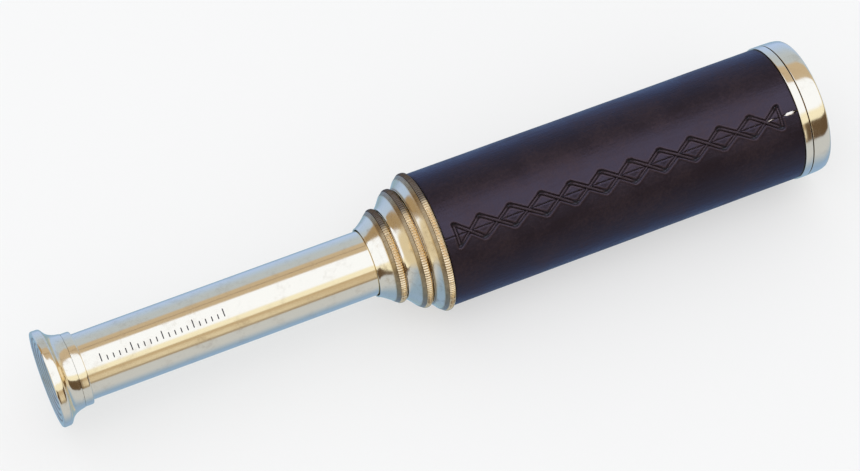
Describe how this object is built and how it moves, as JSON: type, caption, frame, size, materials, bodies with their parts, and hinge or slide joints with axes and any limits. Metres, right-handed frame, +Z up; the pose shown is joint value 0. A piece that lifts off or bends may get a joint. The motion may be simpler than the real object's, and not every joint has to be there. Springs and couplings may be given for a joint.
{
  "type": "three-draw hand telescope",
  "caption": "Pocket hand telescope: leather-covered barrel, nested brass draw tubes with knurled flared collars, trumpet eyecup; its draws slide one inside another.",
  "frame": {"origin": "on the floor under the middle of the telescope's length, on its centre line", "axes": "+X along the optical axis from the eyecup to the object lens, +Z up; the leather seam is turned 36 degrees from +Z towards -Y"},
  "size_m": [0.22, 0.0388, 0.0389],
  "materials": {
    "polished_brass": "polished, lightly tarnished",
    "blackened_brass": "matt black lacquer",
    "leather": "smooth, semi-gloss",
    "lace": "waxed",
    "felt": "felt",
    "lens_glass": "polished"
  },
  "bodies": {
    "barrel": {"barrel_tube": "polished_brass", "leather_sleeve": "leather", "seam_lacing": "lace", "barrel_collar": "polished_brass", "barrel_gland": "felt", "objective_ferrule": "polished_brass", "objective_cell": "polished_brass", "objective_crown_lens": "lens_glass", "objective_flint_lens": "lens_glass", "objective_retaining_ring": "blackened_brass"},
    "large_draw": {"large_tube": "polished_brass", "large_collar": "polished_brass", "large_gland": "felt", "large_stop_ring": "polished_brass", "large_baffle": "blackened_brass"},
    "middle_draw": {"middle_tube": "polished_brass", "middle_collar": "polished_brass", "middle_gland": "felt", "middle_stop_ring": "polished_brass", "middle_baffle": "blackened_brass"},
    "small_draw": {"small_tube": "polished_brass", "small_stop_ring": "polished_brass", "eyepiece_ferrule": "polished_brass", "eyecup": "polished_brass", "eye_lens": "lens_glass", "eye_lens_ring": "blackened_brass", "field_stop": "blackened_brass", "field_lens_cell": "polished_brass", "field_lens": "lens_glass", "field_lens_ring": "blackened_brass", "erector_tube": "polished_brass", "erector_eye_side_lens": "lens_glass", "erector_eye_side_ring": "blackened_brass", "erector_stop": "blackened_brass", "erector_object_side_lens": "lens_glass", "erector_object_side_ring": "blackened_brass"}
  },
  "joints": [
    {"name": "large_draw_slide", "type": "slide", "parent": "barrel", "child": "large_draw", "axis": [-1, 0, 0], "range_m": [0, 0.081]},
    {"name": "middle_draw_slide", "type": "slide", "parent": "large_draw", "child": "middle_draw", "axis": [-1, 0, 0], "range_m": [0, 0.081]},
    {"name": "small_draw_slide", "type": "slide", "parent": "middle_draw", "child": "small_draw", "axis": [-1, 0, 0], "range_m": [-0.08, 0]}
  ]
}
